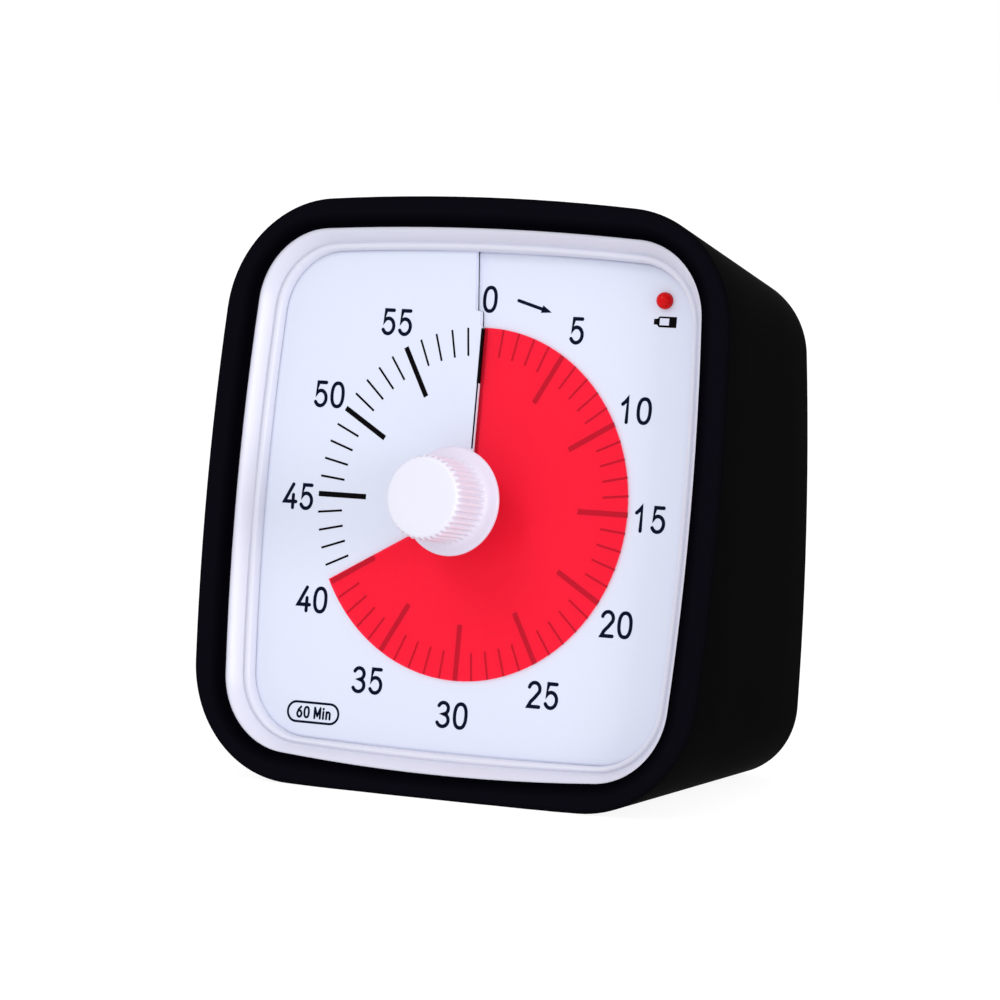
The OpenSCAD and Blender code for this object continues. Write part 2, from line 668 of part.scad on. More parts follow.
module movement_screws() color(steel) for (a = [90 : 120 : 330]) on_axis() rotate(a)
    translate([screw_ring_r, 0, base_back - cover_flange - snug]) rotate([180, 0, 0]) difference() {
        union() {
            translate([0, 0, -4.4]) cylinder(r = 0.9, h = 4.5);
            translate([0, 0, 0.02]) cylinder(r = 1.7, h = 1.2);
        }
        for (turn = [0, 90]) rotate(turn) translate([-1, -0.2, 0.7]) cube([2, 0.4, 1]);
    }

// ---------- turning pieces ----------

knob_bottom = dial_z + 2.3;
neck_r = 5.2;
skirt_z = 0.4;              // underside of the skirt
skirt_t = 1;                // height of its edge
grip_z = skirt_z + 1.6;     // where the skirt has run into the grip
knob_bevel = 0.6;
flute_depth = 0.45;
flute_r = knob_d / 2 - flute_depth;

module knob() color(white) on_axis() difference() {
    union() {
        rotate_extrude() polygon([
            [0, knob_bottom], [neck_r, knob_bottom], [neck_r, skirt_z - 0.3], [neck_r + 0.3, skirt_z],
            [skirt_d / 2 - 0.3, skirt_z], [skirt_d / 2, skirt_z + 0.3], [skirt_d / 2, skirt_z + skirt_t - 0.4],
            [skirt_d / 2 - 0.3, skirt_z + skirt_t - 0.1], [knob_d / 2 + 1, skirt_z + skirt_t],
            [knob_d / 2 + 0.4, grip_z - 0.4], [knob_d / 2 + 0.2, grip_z], [0, grip_z]
        ]);
        translate([0, 0, skirt_z + skirt_t])
            linear_extrude(knob_top - knob_bevel - skirt_z - skirt_t) fluted_outline();
        translate([0, 0, knob_top - 2]) rotate_extrude()
            polygon([[0, 0], [flute_r - 0.05, 0], [flute_r - 0.05, 2 - knob_bevel], [flute_r - 0.4, 2], [0, 2]]);
    }
    translate([0, 0, knob_bottom - 1]) cylinder(r = spindle_r, h = 9);
}

// Round outline with shallow flutes all round
module fluted_outline() polygon([for (i = [0 : 4 * flutes - 1])
    let (a = 360 * i / (4 * flutes), r = knob_d / 2 - flute_depth * [0, 0.3, 1, 0.3][i % 4]) r * [cos(a), sin(a)]]);

spindle_low = cover_z - cover_t - 1;
flange_z = main_z - 1.6;                // flange under the clutch spring
module spindle() color(brass) on_axis() {
    translate([0, 0, flange_z]) cylinder(r = spindle_r, h = knob_bottom + 8 - 0.02 - flange_z);
    translate([0, 0, flange_z]) cylinder(r = spindle_r + 1.8, h = 0.7);
    translate([0, 0, spindle_low]) cylinder(r = 1.5, h = flange_z + 0.2 - spindle_low);
}

// Bowed washer that lets the knob be set against the train
module clutch_spring() color(steel) on_axis() translate([0, 0, main_z - 1.38]) rotate_extrude()
    polygon([[spindle_r + 0.02, 0.5], [spindle_r + 1, 0.5], [7, 1], [7, 1.36], [spindle_r + 0.9, 0.86], [spindle_r + 0.02, 0.86]]);

module main_wheel() color(gear_white) on_axis() translate([0, 0, main_z]) difference() {
    union() {
        rotate(second_angle + 180 / wheel_teeth) gear(wheel_teeth, wheel_t);
        cylinder(r = 5, h = wheel_t + 0.6);
    }
    translate([0, 0, -1]) cylinder(r = spindle_r + 0.02, h = 5);
    for (a = [0 : 72 : 288]) rotate(a + 36) translate([7.6, 0, -1]) cylinder(r = 1.9, h = 5);
}

module disc_collar() color(red) on_axis() translate([0, 0, dial_z - 0.75]) rotate(-shown_angle)
    tube(collar_r, spindle_r + run_fit, 2.1);

module red_disc() color(red) on_axis()
    spiral_sheet(collar_r / cos(spiral_step / 2), disc_r, shown_angle - 352, shown_angle, dial_z + disc_gap + disc_sheet, disc_sheet);

module reduction_gear() color(gear_white) on_axis() translate([second_at.x, second_at.y, 0]) difference() {
    union() {
        translate([0, 0, second_z]) rotate(motor_angle + 180 / wheel_teeth) gear(wheel_teeth, wheel_t);
        translate([0, 0, second_z + 0.2]) rotate(second_angle + 180) gear(pinion_teeth, main_z + wheel_t + 0.5 - second_z - 0.2);
    }
    translate([0, 0, second_z - 1]) cylinder(r = arbor_r + run_fit, h = 12);
    for (a = [0 : 60 : 300]) rotate(a) translate([7.4, 0, second_z - 1]) cylinder(r = 2, h = 2.2 + wheel_t);
}

module motor_pinion() color(gear_white) on_axis() translate([motor_at.x, motor_at.y, 0]) {
    translate([0, 0, second_z - 0.3]) rotate(motor_angle + 180) gear(pinion_teeth, wheel_t + 0.6);
    translate([0, 0, cover_z - cover_t - 5.8]) cylinder(r = motor_shaft_r, h = second_z - cover_z + cover_t + 5.6);
}

silicone_sleeve();
front_shell();
rear_shell();
dial_plate();
indicator_led();
movement_base();
movement_cover();
spindle_bush();
reduction_arbor();
drive_motor();
circuit_board();
controller_chip();
quartz_crystal();
zero_contact();
buzzer();
switch_body();
battery_cell();
battery_spring();
battery_contact();
case_screws();
movement_screws();
knob();
spindle();
clutch_spring();
main_wheel();
disc_collar();
red_disc();
reduction_gear();
motor_pinion();
volume_slider();
battery_door();
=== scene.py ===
# Looks of a visual countdown timer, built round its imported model. Lengths are in millimetres
# until a mesh is made, but in metres in the finishes. Angles are in degrees.
import json
import math
import bpy
from mathutils import Matrix, Vector


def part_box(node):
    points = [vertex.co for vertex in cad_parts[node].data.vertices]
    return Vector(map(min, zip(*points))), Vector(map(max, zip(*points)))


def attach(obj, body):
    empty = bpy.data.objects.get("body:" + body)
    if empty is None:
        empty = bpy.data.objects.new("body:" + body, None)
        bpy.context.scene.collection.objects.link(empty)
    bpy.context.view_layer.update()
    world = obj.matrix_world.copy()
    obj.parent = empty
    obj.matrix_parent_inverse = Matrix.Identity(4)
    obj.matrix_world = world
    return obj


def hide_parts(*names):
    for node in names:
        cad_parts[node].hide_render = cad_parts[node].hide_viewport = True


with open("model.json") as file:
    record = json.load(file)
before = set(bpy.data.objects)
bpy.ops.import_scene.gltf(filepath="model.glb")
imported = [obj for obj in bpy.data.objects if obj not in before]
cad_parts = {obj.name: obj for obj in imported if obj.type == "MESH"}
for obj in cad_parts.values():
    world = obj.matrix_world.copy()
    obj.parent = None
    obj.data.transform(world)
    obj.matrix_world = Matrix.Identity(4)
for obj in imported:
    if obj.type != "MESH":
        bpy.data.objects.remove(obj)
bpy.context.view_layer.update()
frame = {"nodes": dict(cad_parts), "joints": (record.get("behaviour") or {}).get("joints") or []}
nodes = frame["nodes"]
mm = 0.001
print("frame loaded:", len(nodes), "nodes")

case = {
    "dialDrop": 0.4,        # the knob sits this far below the middle of the face
    "lip": 1.6,             # sleeve's lip over the front edge of the case
    "wall": 3.0,            # sleeve round the sides
    "caseWall": 2.0,
    "snug": 0.05,           # air between the sleeve and the case
    "rearHeight": 86.6,
    "baseFlat": 0.25,
    # half width, top, bottom, side radius, top radius, bottom radius, corner radius
    "front": (49.4, 50.9, 50.35, 510, 410, 1200, 20.8),
    "rear": (40.2, 43.3, 43.3, 590, 500, 1200, 13),
    "rim": (43.8, 45.6, 46.0, 480, 480, 380, 13.5),
    "dial": (40.2, 41.9, 42.2, 480, 480, 900, 11),
    "sideSteps": 6,
    "cornerSteps": 26,
}

knobJoint = next(j for j in frame["joints"] if j["name"] == "knob_turn")
toViewer = -Vector(knobJoint["axis"]).normalized()
upFace = Vector((0, toViewer.z, -toViewer.y))
knobCentre = Vector(knobJoint["pos_m"]) / mm
faceCentre = knobCentre + upFace * case["dialDrop"]
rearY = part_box("silicone_sleeve")[1].y / mm
rearZ = case["rearHeight"] / 2 - case["baseFlat"]


def facePoint(x, y, z):
    return faceCentre + Vector((x, 0, 0)) + upFace * y + toViewer * z


def axisPoint(x, y, z):
    return knobCentre + Vector((x, 0, 0)) + upFace * y + toViewer * z


def lerp(a, b, k):
    return a + (b - a) * k


def sweep(first, last, steps):
    return [lerp(first, last, i / steps) for i in range(steps + 1)]


def polar(r, degrees):
    return Vector((r * math.cos(math.radians(degrees)), r * math.sin(math.radians(degrees))))


def cornerCentre(half, height, sideR, capR, cornerR):
    a, b = Vector((half - sideR, 0)), Vector((0, height - capR))
    ra, rb = sideR - cornerR, capR - cornerR
    gap = (b - a).length
    along = (gap * gap + ra * ra - rb * rb) / (2 * gap)
    off = math.sqrt(ra * ra - along * along)
    u = (b - a) / gap
    return a + u * along + Vector((-u.y, u.x)) * off


def quarter(half, height, sideR, capR, cornerR, inset):
    c = cornerCentre(half, height, sideR, capR, cornerR)
    sideC, capC = Vector((half - sideR, 0)), Vector((0, height - capR))
    a = math.degrees(math.atan2(c.y, c.x - sideC.x))
    b = math.degrees(math.atan2(c.y - capC.y, c.x))
    runs = ((sideC, sideR, 0, a, case["sideSteps"]), (c, cornerR, a, b, case["cornerSteps"]),
            (capC, capR, b, 90, case["sideSteps"]))
    return [centre + polar(r - inset, t)
            for centre, r, first, last, steps in runs for t in sweep(first, last, steps)[:-1]]


def outline(shape, inset=0):
    half, top, bottom, sideR, topR, bottomR, cornerR = shape
    up = quarter(half, top, sideR, topR, cornerR, inset)
    down = quarter(half, bottom, sideR, bottomR, cornerR, inset)
    left = [Vector((-p.x, p.y)) for p in reversed(up)]
    low = [Vector((-p.x, -p.y)) for p in down[1:]]
    right = [Vector((p.x, -p.y)) for p in reversed(down[1:])]
    return up + [Vector((0, top - inset))] + left + low + [Vector((0, inset - bottom))] + right


def sideRing(along, inset, back=0):
    # ring of the tapered side, between the front for 0 and the back for 1
    ring = []
    for f, r in zip(outline(case["front"], inset), outline(case["rear"], inset)):
        a, b = facePoint(f.x, f.y, 0), Vector((r.x, rearY, rearZ + r.y))
        p = lerp(a, b, along + back / (b.y - a.y))
        ring.append(Vector((p.x, p.y, max(p.z, 0))))
    return ring


def faceRing(shape, inset, z):
    return [facePoint(p.x, p.y, z) for p in outline(shape, inset)]


def makeMesh(name, points, faces, creaseAngle=35):
    mesh = bpy.data.meshes.new(name)
    mesh.from_pydata([Vector(p) * mm for p in points], [], faces)
    mesh.validate()
    mesh.update()
    for face in mesh.polygons:
        face.use_smooth = True
    mesh.set_sharp_from_angle(angle=math.radians(creaseAngle))
    piece = bpy.data.objects.new(name, mesh)
    bpy.context.scene.collection.objects.link(piece)
    return piece


def loft(name, rings, closed=True, creaseAngle=35):
    # closed rings follow one another round a section, or from a first flat cap to a last one
    n, m = len(rings[0]), len(rings)
    points = [p for ring in rings for p in ring]
    faces = [(j * n + i, j * n + (i + 1) % n, (j + 1) % m * n + (i + 1) % n, (j + 1) % m * n + i)
             for j in range(m if closed else m - 1) for i in range(n)]
    if not closed:
        faces += [tuple(range(n))[::-1], tuple((m - 1) * n + i for i in range(n))]
    return turnOut(makeMesh(name, points, faces, creaseAngle))


def turnOut(piece):
    # a closed mesh of positive volume faces out
    mesh = piece.data
    mesh.calc_loop_triangles()
    volume = 0
    for t in mesh.loop_triangles:
        a, b, c = (mesh.vertices[i].co for i in t.vertices)
        volume += a.dot(b.cross(c))
    if volume < 0:
        mesh.flip_normals()
    return piece


def smoothPath(points, steps):
    # Catmull-Rom curve through the points of a profile
    ends = [points[0]] + list(points) + [points[-1]]
    path = []
    for i in range(1, len(ends) - 2):
        a, b, c, d = (Vector(p) for p in ends[i - 1:i + 3])
        for k in range(steps):
            t = k / steps
            path.append(0.5 * ((2 * b) + (c - a) * t + (2 * a - 5 * b + 4 * c - d) * t * t
                               + (3 * b - a - 3 * c + d) * t ** 3))
    return path + [Vector(points[-1])]


def joinPieces(name, pieces):
    bpy.context.view_layer.update()
    first = pieces[0]
    if len(pieces) > 1:
        with bpy.context.temp_override(active_object=first, selected_editable_objects=pieces, object=first):
            bpy.ops.object.join()
    first.name = name
    return first


def place(piece, body, slotName, finish, *replaced):
    piece.data.materials.clear()
    piece.data.materials.append(finish)
    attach(piece, body)
    if replaced:
        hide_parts(*replaced)
    return piece


class Wire:
    # a socket of a finish, which adds Math nodes where it is used in a sum
    def __init__(self, tree, socket):
        self.tree = tree
        self.socket = socket

    def node(self, kind, settings, inputs, output=0):
        made = self.tree.nodes.new(kind)
        for name, value in settings.items():
            if name == "stops":
                fillRamp(made.color_ramp, value)
            else:
                setattr(made, name, value)
        for name, value in inputs.items():
            if isinstance(value, Wire):
                self.tree.links.new(value.socket, made.inputs[name])
            else:
                made.inputs[name].default_value = value
        return Wire(self.tree, made.outputs[output])

    def math(self, operation, *values):
        return self.node("ShaderNodeMath", {"operation": operation}, dict(enumerate(values)))

    def __add__(self, other):
        return self.math("ADD", self, other)

    def __sub__(self, other):
        return self.math("SUBTRACT", self, other)

    def __rsub__(self, other):
        return self.math("SUBTRACT", other, self)

    def __mul__(self, other):
        return self.math("MULTIPLY", self, other)

    def __gt__(self, other):
        return self.math("GREATER_THAN", self, other)

    __radd__ = __add__
    __rmul__ = __mul__


def fillRamp(ramp, stops):
    while len(ramp.elements) < len(stops):
        ramp.elements.new(0.5)
    for element, (stop, colour) in zip(ramp.elements, stops):
        element.position = stop
        element.color = colour


def rgba(r, g, b):
    return (r, g, b, 1)


class Finish:
    # a new material with its Principled shader and the place on the object as a Wire
    def __init__(self, name, **fixed):
        self.material = bpy.data.materials.new(name)
        self.material.use_nodes = True
        self.tree = self.material.node_tree
        self.shader = self.tree.nodes["Principled BSDF"]
        for socket, value in fixed.items():
            self.shader.inputs[socket.replace("_", " ")].default_value = value
        self.place = Wire(self.tree, None).node("ShaderNodeTexCoord", {}, {}, "Object")

    def set(self, socket, wire):
        self.tree.links.new(wire.socket, self.shader.inputs[socket])

    def noise(self, scale, detail=3, roughness=0.5, along=None):
        where = self.place
        if along:
            where = where.node("ShaderNodeMapping", {}, {"Vector": where, "Scale": along})
        return where.node("ShaderNodeTexNoise", {}, {
            "Vector": where, "Scale": scale, "Detail": detail, "Roughness": roughness})

    def mix(self, factor, a, b):
        return factor.node("ShaderNodeMix", {"data_type": "RGBA"}, {0: factor, 6: a, 7: b}, 2)

    def ramp(self, factor, *stops):
        return factor.node("ShaderNodeValToRGB", {"stops": stops}, {"Fac": factor})

    def bump(self, height, distance, strength=0.5, edge=None):
        inputs = {"Height": height, "Distance": distance, "Strength": strength}
        if edge:
            inputs["Normal"] = self.bevel(edge)
        self.set("Normal", height.node("ShaderNodeBump", {}, inputs))

    def tone(self):
        # the level of painted light and shade that the mesh carries
        return self.place.node("ShaderNodeAttribute", {"attribute_name": "tone"}, {}, "Fac")

    def bevel(self, radius):
        return self.place.node("ShaderNodeBevel", {"samples": 6}, {"Radius": radius})


def siliconeFinish():
    # painted light and shade: the mesh's level runs from the sides for 0, over the rim painted lighter and
    # bluer for 0.5, to the lip's slope in painted shade for 1
    made = Finish("silicone", Specular_IOR_Level=0.0012)
    fine, broad = made.noise(2600, 4), made.noise(38, 3)
    dust = made.noise(900, 2, 0.7) > 0.735
    # painted light on the front rim, painted shade on the lip's slope
    base = made.ramp(made.tone(), (0, rgba(0.0011, 0.0011, 0.0012)), (0.5, rgba(0.0033, 0.0029, 0.0056)),
                     (1, rgba(0.0006, 0.0005, 0.0016)))
    worn = made.mix(broad * 0.2 + fine * 0.1, base, rgba(0.0030, 0.0029, 0.0036))
    made.set("Base Color", made.mix(dust * 0.1, worn, rgba(0.018, 0.018, 0.021)))
    made.set("Roughness", 0.5 + broad * 0.12 + fine * 0.1)
    made.bump(fine + broad * 0.6, 0.00004, 0.35)
    return made.material


def mouldedFinish(name, light, dark, rough=0.34, grain=0.00001, edge=None, scale=1800, skirt=None):
    # satin moulded plastic: faint flow marks, fine grain and a little grime in the broad noise, and, where
    # the mesh
    # carries a level, the skirt colour: a painted shade, tinted pink as a painted reflection of the red
    # disc
    made = Finish(name)
    fine, broad = made.noise(scale, 3), made.noise(55, 4, 0.6)
    streak = made.noise(120, 2, 0.5, along=(1, 0.2, 0.6))
    colour = made.mix(broad * 0.6 + streak * 0.3, rgba(*light), rgba(*dark))
    # painted shade on the knob's skirt, tinted pink as a painted reflection of the red disc
    if skirt:
        colour = made.mix(made.tone(), colour, rgba(*skirt))
    made.set("Base Color", colour)
    made.set("Roughness", rough - 0.05 + fine * 0.06 + broad * 0.06)
    made.bump(fine + streak * 0.3, grain, 0.5, edge)
    return made.material


def dialFinish():
    made = Finish("dial_print_white")
    fine, broad = made.noise(3200, 2), made.noise(26, 3)
    made.set("Base Color", made.mix(broad, rgba(0.655, 0.69, 0.82), rgba(0.640, 0.676, 0.805)))
    made.set("Roughness", 0.42 + fine * 0.08)
    made.bump(fine, 0.000006, 0.3)
    return made.material


def inkFinish(name, colour, thin):
    # screen-printed ink, a touch thinner where the mesh of the screen left it
    made = Finish(name, Specular_IOR_Level=0.03)
    fine = made.noise(5200, 2)
    made.set("Base Color", made.mix(fine * 0.5, rgba(*colour), rgba(*thin)))
    made.set("Roughness", 0.38 + fine * 0.15)
    made.bump(fine, 0.000004, 0.4)
    return made.material


def filmFinish():
    # red film that lets the print below show through darker, and glows faintly red as painted light
    made = Finish("red_film", Specular_IOR_Level=0.15,
                  Emission_Color=rgba(1, 0, 0.01), Emission_Strength=0.12)
    broad, fine = made.noise(30, 2), made.noise(1500, 2)
    made.set("Base Color", made.mix(broad, rgba(1.0, 0.029, 0.078), rgba(0.985, 0.031, 0.081)))
    made.set("Roughness", 0.34 + fine * 0.08)
    made.bump(fine, 0.000004, 0.3)
    clear = made.place.node("ShaderNodeBsdfTransparent", {}, {"Color": rgba(1.0, 0.235, 0.35)})
    solid = Wire(made.tree, made.shader.outputs[0])
    both = clear.node("ShaderNodeMixShader", {}, {"Fac": broad * 0.02 + 0.24, 1: clear, 2: solid})
    made.tree.links.new(both.socket, made.tree.nodes["Material Output"].inputs["Surface"])
    return made.material


def lensFinish():
    made = Finish("red_epoxy", Specular_IOR_Level=0.05, Coat_Roughness=0.03, Coat_IOR=1.5)
    broad, fine = made.noise(500, 2), made.noise(2500, 2)
    made.set("Base Color", made.mix(broad, rgba(0.56, 0.001, 0.002), rgba(0.64, 0.002, 0.004)))
    made.set("Roughness", 0.16 + fine * 0.05)
    made.set("Coat Weight", 0.1 + fine * 0.06)
    return made.material


def metalFinish(name, light, dark, rough, along=(1, 1, 12)):
    made = Finish(name)
    brushed, stain = made.noise(700, 3, 0.6, along), made.noise(160, 4)
    made.set("Base Color", made.mix(brushed * 0.6 + stain * 0.4, rgba(*light), rgba(*dark)))
    made.set("Metallic", 0.94 + brushed * 0.06)
    made.set("Roughness", rough + brushed * 0.16)
    made.bump(brushed, 0.00001, 0.35, edge=0.0001)
    return made.material


def boardFinish():
    # green solder mask over copper tracks
    made = Finish("solder_mask", Coat_Roughness=0.2)
    cells = made.place.node("ShaderNodeTexVoronoi", {"feature": "DISTANCE_TO_EDGE"}, {
        "Vector": made.place, "Scale": 420})
    track = cells.node("ShaderNodeMapRange", {}, {0: cells, 1: 0.03, 2: 0.05, 3: 1, 4: 0})
    weave = made.noise(2600, 2)
    made.set("Base Color", made.mix(track, rgba(0.012, 0.085, 0.032), rgba(0.03, 0.17, 0.06)))
    made.set("Roughness", 0.3 + weave * 0.12)
    made.set("Coat Weight", 0.3 + weave * 0.1)
    made.bump(track + weave * 0.2, 0.00003, 0.5, edge=0.0001)
    return made.material


def cellFinish():
    # plain two-colour metal jacket with no lettering
    made = Finish("cell_jacket", Coat_Weight=0.35)
    x = made.place.node("ShaderNodeSeparateXYZ", {}, {0: made.place})
    low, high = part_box("battery_cell")
    band = x > lerp(low.x, high.x, 0.68)
    brushed, scuff = made.noise(500, 3, 0.6, (12, 1, 1)), made.noise(300, 4)
    body = made.mix(brushed, rgba(0.035, 0.036, 0.04), rgba(0.06, 0.062, 0.07))
    cap = made.mix(brushed, rgba(0.50, 0.33, 0.15), rgba(0.62, 0.42, 0.2))
    made.set("Base Color", made.mix(band, body, cap))
    made.set("Metallic", band * 0.75 + 0.2)
    made.set("Roughness", 0.24 + scuff * 0.2)
    made.bump(brushed, 0.000008, 0.4)
    return made.material


finishes = {
    "silicone": siliconeFinish(),
    "caseWhite": mouldedFinish("case_plastic", (0.645, 0.652, 0.755), (0.62, 0.628, 0.73), edge=0.00025),
    "backWhite": mouldedFinish("back_plastic", (0.665, 0.675, 0.77), (0.63, 0.64, 0.735),
                               rough=0.5, grain=0.00003, edge=0.0003, scale=3400),
    "dial": dialFinish(),
    "ink": inkFinish("navy_ink", (0.0015, 0.003, 0.015), (0.004, 0.006, 0.024)),
    "inkBlack": inkFinish("black_ink", (0.0012, 0.0008, 0.0012), (0.003, 0.002, 0.003)),
    "film": filmFinish(),
    # the knob's skirt colour is a painted shade with a painted reflection of the red disc
    "knob": mouldedFinish("knob_plastic", (0.705, 0.70, 0.80), (0.69, 0.685, 0.785),
                          rough=0.36, grain=0.000006, skirt=(0.66, 0.60, 0.72)),
    "lens": lensFinish(),
    "black": mouldedFinish("black_moulding", (0.012, 0.012, 0.014), (0.022, 0.022, 0.025),
                           rough=0.4, grain=0.00003, edge=0.00015),
    "grey": mouldedFinish("grey_moulding", (0.040, 0.044, 0.055), (0.055, 0.06, 0.07),
                          rough=0.42, grain=0.00003, edge=0.0002),
    "nylon": mouldedFinish("acetal", (0.78, 0.74, 0.63), (0.70, 0.655, 0.55),
                           rough=0.36, grain=0.00001, edge=0.00008),
    "brass": metalFinish("turned_brass", (0.80, 0.56, 0.24), (0.62, 0.42, 0.17), rough=0.2),
    "steel": metalFinish("bright_steel", (0.60, 0.61, 0.63), (0.46, 0.47, 0.49), rough=0.22),
    "screw": metalFinish("zinc_plate", (0.42, 0.42, 0.44), (0.28, 0.28, 0.30), rough=0.3, along=(6, 6, 1)),
    "board": boardFinish(),
    "cell": cellFinish(),
}
print("finishes made:", len(finishes))

kept = {
    "rear_shell": "backWhite", "battery_door": "backWhite",
    "movement_base": "black", "movement_cover": "grey",
    "spindle_bush": "brass", "spindle": "brass", "zero_contact": "brass",
    "reduction_arbor": "steel", "drive_motor": "steel", "quartz_crystal": "steel",
    "switch_body": "steel", "battery_spring": "steel", "battery_contact": "steel",
    "case_screws": "screw", "movement_screws": "screw", "clutch_spring": "steel",
    "circuit_board": "board", "controller_chip": "black", "buzzer": "black",
    "volume_slider": "black", "battery_cell": "cell",
    "main_wheel": "nylon", "reduction_gear": "nylon", "motor_pinion": "nylon",
    "disc_collar": "film",
}
for nodeName, finishName in kept.items():
    node = nodes[nodeName]
    node.data.materials.clear()
    node.data.materials.append(finishes[finishName])
print("carried nodes dressed:", len(kept))

sleeve = {"frontRound": 1.0, "backRound": 2.4, "slopeWidth": 2.4, "slopeDepth": 1.2,
          "backLip": 1.8, "backLipWidth": 5.0, "backLipRound": 0.6, "steps": 7,
          "sideRows": (0.75, 0.5, 0.25)}


def layTone(piece, shadeLevels, size):
    # one level of painted light and shade for each ring of a loft
    spread = piece.data.attributes.new("tone", "FLOAT", "POINT")
    spread.data.foreach_set("value", [tone for tone in shadeLevels for _ in range(size)])


def sleeveRings():
    wall, lip, n = case["wall"], case["lip"], sleeve["steps"]
    turns = [math.radians(t) for t in sweep(0, 90, n)]
    r, b, s = sleeve["frontRound"], sleeve["backRound"], sleeve["backLipRound"]
    inner = wall + sleeve["backLipWidth"]
    rings = [sideRing(0, r * (1 - math.cos(t)), r * (1 - math.sin(t))) for t in turns]
    # levels of painted light on the front's rounding and rim, then of painted shade down the lip's slope,
    # and 0 elsewhere
    shadeLevels = [0.5 * t / turns[-1] for t in turns]
    across, down = sleeve["slopeWidth"], sleeve["slopeDepth"]
    rings += [faceRing(case["rim"], across * (math.sin(t) - 1), down * (math.cos(t) - 1)) for t in turns]
    shadeLevels += [0.5 + 0.5 * min(1, 2 * t / turns[-1]) for t in turns]
    rings += [faceRing(case["rim"], 0, -lip), sideRing(0, wall, lip)]
    rings += [sideRing(1, inset, -sleeve["backLip"]) for inset in (wall, inner)]
    rings += [sideRing(1, inner - s * (1 - math.cos(t)), -s * (1 - math.sin(t))) for t in turns]
    rings += [sideRing(1, b * (1 - math.sin(t)), -b * (1 - math.cos(t))) for t in turns]
    rings += [sideRing(k, 0) for k in sleeve["sideRows"]]
    return rings, shadeLevels + [0] * (len(rings) - len(shadeLevels))


sleeveLoft, sleeveShadeLevels = sleeveRings()
sleevePiece = loft("sleeve_skin", sleeveLoft, creaseAngle=50)
layTone(sleevePiece, sleeveShadeLevels, len(sleeveLoft[0]))
place(sleevePiece, "case", "sleeve_rubber", finishes["silicone"], "silicone_sleeve")
print("sleeve made")

bezel = {
    # share of the way from the lip to the recess, and depth behind the front edge of the case
    "profile": ((0, 0), (0.10, -0.12), (0.24, -0.62), (0.40, -1.42), (0.52, -2.12),
                (0.575, -2.46), (0.61, -2.50), (0.65, -2.34), (0.72, -2.18),
                (0.82, -2.20), (0.91, -2.42), (0.965, -2.85)),
    "steps": 4,
    "edge": ((0, 0.8), (0.2, 0.25), (0.7, 0)),  # rounded front edge: inset, and distance behind the front
    "recessDrop": 3.4, "recessClear": 0.2,
    "floor": -8.2, "floorThick": 1.5, "holeR": 31.0, "shoulder": 0.6, "split": 0.32,
}


def bezelRing(k, z):
    # ring between the lip's opening for 0 and the edge of the dial's recess for 1
    opening, recess = outline(case["rim"]), outline(case["dial"], -bezel["recessClear"])
    return [facePoint(lerp(a.x, b.x, k), lerp(a.y, b.y, k), z) for a, b in zip(opening, recess)]


def roundRing(r, z):
    return [axisPoint(p.x, p.y, z) for p in (q.normalized() * r for q in outline(case["dial"]))]


def bezelRings():
    out = case["wall"] + case["snug"]
    front = -(case["lip"] + case["snug"])
    floor, under = bezel["floor"], bezel["floor"] - bezel["floorThick"]
    rings = [sideRing(bezel["split"], out)]
    rings += [sideRing(0, out + inset, back - front) for inset, back in bezel["edge"]]
    rings += [bezelRing(k, front + z) for k, z in smoothPath(bezel["profile"], bezel["steps"])]
    rings += [bezelRing(1, front - bezel["recessDrop"]), bezelRing(1, floor)]
    rings += [roundRing(bezel["holeR"], floor), roundRing(bezel["holeR"], under)]
    rings += [faceRing(case["dial"], -bezel["shoulder"], under)]
    rings += [sideRing(bezel["split"], out + case["caseWall"])]
    return rings


frontPiece = loft("front_bezel", bezelRings(), creaseAngle=50)
place(frontPiece, "case", "case_white", finishes["caseWhite"], "front_shell")
print("bezel made")

dial = {
    "z": -6.4, "pitch": 1.2, "sheet": 0.5, "holeR": 5.3,
    # place of the cut to the right of the middle, at each height above the knob's axis
    "cut": ((5.3, 0.0), (29.6, -0.02), (29.85, -0.84), (32.45, -1.03), (32.55, -2.0), (60.0, -4.4)),
    # half the cut's width as far out as the disc reaches, and beyond, where a deep lip nearly
    # closes the step
    "kerf": 0.14, "openTo": 29.85, "stepHalf": 0.03, "lip": 0.98, "cutFade": 11.0,
    "rows": (5.3, 5.7, 7.5, 9.4, 12, 16, 20, 24, 28, 29.6,
             29.85, 30.3, 31, 32, 32.4, 32.46, 32.54, 32.6, 33, 36),
    "nearCut": (0.0, 0.7, 1.5, 2.5, 4.0, 6.0, 8.5), "nearEnd": 9,   # columns beside the cut, in degrees
    # rim of the sheet: distance past its outline, and drop below its top
    "rim": ((-0.3, 0), (-0.12, 0.02), (0, 0.07), (0.05, 0.15), (0.18, 0.16)),
}


def cutPlace(y):
    points = dial["cut"]
    for (y0, x0), (y1, x1) in zip(points, points[1:]):
        if y <= y1:
            return lerp(x0, x1, max(0, (y - y0) / (y1 - y0)))
    return points[-1][1]


def turnOf(x, y):
    # clockwise angle from the top
    return math.degrees(math.atan2(x, y)) % 360


def dialTop(turn):
    return dial["z"] + dial["pitch"] * turn / 360


def pullToCut(away, y, side):
    # the columns near the cut are drawn over to its line, on its right for side 1
    half = dial["kerf"] if y < dial["openTo"] else dial["stepHalf"]
    return max(0, 1 - away / dial["cutFade"]) ** 2 * (cutPlace(y) + side * half)


def sheetTurn(x, y):
    # turn of the column that runs through a place of the sheet
    fade = dial["cutFade"]
    side = 1 if x > cutPlace(y) else -1
    if y < dial["holeR"] or side * x > y * math.tan(math.radians(fade)):
        return turnOf(x, y)
    low, high = 0, fade
    while high - low > 0.001:
        t = (low + high) / 2
        short = side * (x - pullToCut(t, y, side)) > y * math.tan(math.radians(t))
        low, high = (t, high) if short else (low, t)
    return low if side > 0 else 360 - low


